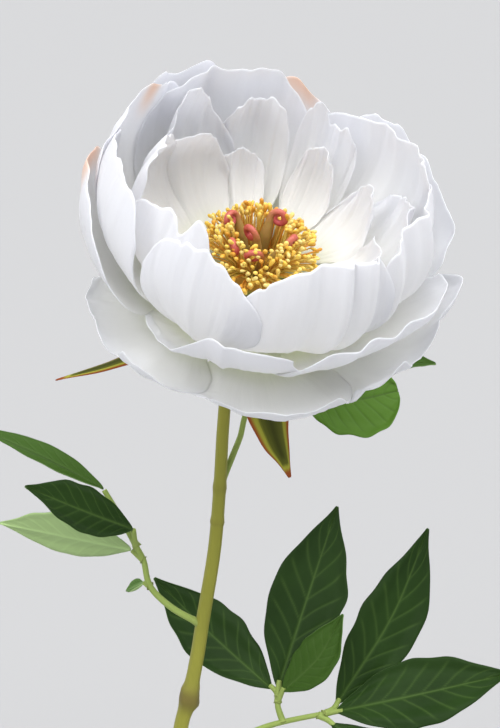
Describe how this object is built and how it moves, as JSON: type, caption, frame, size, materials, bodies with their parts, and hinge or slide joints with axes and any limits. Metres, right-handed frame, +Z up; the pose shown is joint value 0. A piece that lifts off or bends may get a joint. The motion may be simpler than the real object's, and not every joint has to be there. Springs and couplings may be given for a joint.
{
  "type": "peony in a bud vase",
  "caption": "Single open white peony bloom on a leafy stem that leans in the narrow neck of a plain glazed bud vase.",
  "frame": {"origin": "middle of the vase's flat underside", "axes": "+Z up along the vase, -Y towards the side that the bloom faces, +X to the bloom's right as seen from there"},
  "size_m": [0.1876, 0.1349, 0.3914],
  "materials": {
    "vase_glaze": "pale off-white glaze with a soft gloss",
    "stem_skin": "yellow-olive stem skin with fine lengthwise grain, satin",
    "stalk_skin": "light green leaf stalk, satin",
    "leaf_dark": "dark green leaf, paler veins and underside, low sheen",
    "leaf_pale": "light yellow-green leaf underside, matte",
    "sepal_skin": "olive sepal with a rust-red margin, satin",
    "receptacle_skin": "green receptacle, matte",
    "carpel_skin": "olive carpel running to a raspberry-pink stigma, satin",
    "stamen_gold": "golden anthers on pale yellow filaments, satin",
    "petal_white": "soft white petal with fine lengthwise fibres, pale green at the foot, matte and translucent"
  },
  "bodies": {
    "root": {"vase": "vase_glaze", "main_stem": "stem_skin", "upper_leaf_stalk": "stalk_skin", "left_leaf_stalk": "stalk_skin", "right_leaf_stalk": "stalk_skin", "upper_leaf_1": "leaf_dark", "upper_leaf_2": "leaf_dark", "left_leaf_1": "leaf_dark", "left_leaf_2": "leaf_pale", "left_leaf_3": "leaf_dark", "left_leaf_4": "leaf_pale", "right_leaf_1": "leaf_dark", "right_leaf_2": "leaf_dark", "right_leaf_3": "leaf_dark", "right_leaf_4": "leaf_dark", "right_leaf_5": "leaf_dark", "right_leaf_6": "leaf_dark", "front_sepal": "sepal_skin", "left_sepal": "sepal_skin", "back_sepal": "sepal_skin", "receptacle": "receptacle_skin", "carpel_1": "carpel_skin", "carpel_2": "carpel_skin", "carpel_3": "carpel_skin", "carpel_4": "carpel_skin", "carpel_5": "carpel_skin", "carpel_6": "carpel_skin", "stamens_1": "stamen_gold", "stamens_2": "stamen_gold", "stamens_3": "stamen_gold", "stamens_4": "stamen_gold", "stamens_5": "stamen_gold", "inner_petal_1": "petal_white", "inner_petal_2": "petal_white", "inner_petal_3": "petal_white", "inner_petal_4": "petal_white", "inner_petal_5": "petal_white", "inner_petal_6": "petal_white", "middle_petal_1": "petal_white", "middle_petal_2": "petal_white", "middle_petal_3": "petal_white", "middle_petal_4": "petal_white", "middle_petal_5": "petal_white", "cup_petal_1": "petal_white", "cup_petal_2": "petal_white", "cup_petal_3": "petal_white", "cup_petal_4": "petal_white", "cup_petal_5": "petal_white", "cup_petal_6": "petal_white", "cup_petal_7": "petal_white", "outer_petal_1": "petal_white", "outer_petal_2": "petal_white", "outer_petal_3": "petal_white", "outer_petal_4": "petal_white", "outer_petal_5": "petal_white", "guard_petal_1": "petal_white", "guard_petal_2": "petal_white", "guard_petal_3": "petal_white", "guard_petal_4": "petal_white", "guard_petal_5": "petal_white"}
  },
  "joints": []
}
